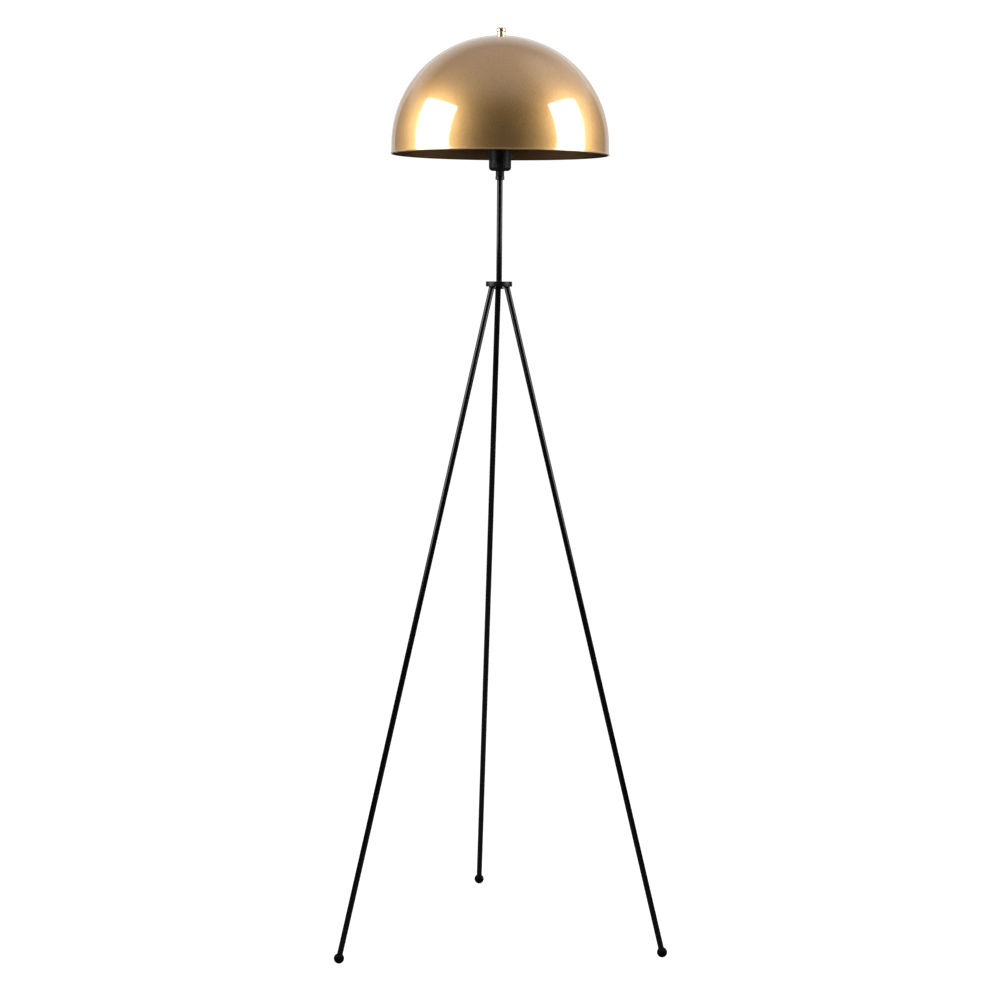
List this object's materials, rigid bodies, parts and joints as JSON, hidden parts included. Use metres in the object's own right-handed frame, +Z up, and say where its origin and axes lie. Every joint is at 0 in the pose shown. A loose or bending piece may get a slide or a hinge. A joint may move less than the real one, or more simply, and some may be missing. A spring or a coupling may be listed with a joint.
{
  "type": "tripod floor lamp",
  "caption": "Floor lamp with a glossy metal dome shade on a wire harp, an upward lampholder on a short stem, and a slim steel tripod on ball feet.",
  "frame": {"origin": "centre of the bounding box on the floor; the stem's axis stands 71.25 mm from it towards -Y", "axes": "+Z up along the stem, +Y towards the rear leg, so that the other two legs spread to the front at -Y"},
  "size_m": [0.5782, 0.5224, 1.6014],
  "materials": {
    "black_powder_coat": "satin black powder coat over steel",
    "zinc_plated_steel": "zinc plated",
    "black_plastic": "moulded, satin",
    "white_ceramic": "glazed",
    "plain_brass": "bare, stamped",
    "gold_lacquer": "metallic gold under a clear gloss coat",
    "nylon": "natural nylon",
    "polished_brass": "turned and polished",
    "bulb_metal": "rolled, bright",
    "white_plastic": "moulded",
    "opal_glass": "opal"
  },
  "bodies": {
    "stand": {"hub_plate": "black_powder_coat", "hub_washer": "black_powder_coat", "hub_nut": "black_powder_coat", "leg_front_left": "black_powder_coat", "leg_front_right": "black_powder_coat", "leg_rear": "black_powder_coat", "leg_insert_front_left": "zinc_plated_steel", "leg_insert_front_right": "zinc_plated_steel", "leg_insert_rear": "zinc_plated_steel", "foot_front_left": "black_plastic", "foot_front_right": "black_plastic", "foot_rear": "black_plastic", "stem_tube": "black_powder_coat", "cord_bush": "black_plastic", "stem_collar": "black_powder_coat", "collar_grub_screw": "black_powder_coat", "holder_cap": "black_plastic", "holder_barrel": "black_plastic", "holder_core": "white_ceramic", "holder_screw_shell": "plain_brass", "holder_centre_contact": "plain_brass", "terminal_screw_live": "plain_brass", "terminal_screw_neutral": "plain_brass", "harp_ring": "black_powder_coat", "harp_arm_left": "black_powder_coat", "harp_arm_right": "black_powder_coat", "harp_stud": "black_powder_coat", "shade_ring": "black_plastic"},
    "shade": {"shade": "gold_lacquer"},
    "finial_seat": {"finial_washer": "nylon"},
    "finial": {"finial": "polished_brass"},
    "bulb_foot": {"bulb_contact": "bulb_metal"},
    "bulb": {"bulb_insulator": "black_plastic", "bulb_cap": "bulb_metal", "bulb_collar": "white_plastic", "bulb_globe": "opal_glass"}
  },
  "joints": [
    {"name": "shade_swivel", "type": "hinge", "parent": "stand", "child": "shade", "pos_m": [0, -0.07125, 1.587], "axis": [0, 0, 1], "continuous": true},
    {"name": "finial_rise", "type": "slide", "parent": "stand", "child": "finial_seat", "axis": [0, 0, 1], "range_m": [0, 0.009]},
    {"name": "finial_turn", "type": "hinge", "parent": "finial_seat", "child": "finial", "pos_m": [0, -0.07125, 1.595], "axis": [0, 0, 1], "range_deg": [0, 3240]},
    {"name": "bulb_rise", "type": "slide", "parent": "stand", "child": "bulb_foot", "axis": [0, 0, 1], "range_m": [0, 0.01452]},
    {"name": "bulb_turn", "type": "hinge", "parent": "bulb_foot", "child": "bulb", "pos_m": [0, -0.07125, 1.4], "axis": [0, 0, 1], "range_deg": [0, 1440]}
  ],
  "couplings": [
    {"joint": "finial_turn", "follows": "finial_rise", "rad_per_m": 6283.2},
    {"joint": "bulb_turn", "follows": "bulb_rise", "rad_per_m": 1730.9}
  ]
}
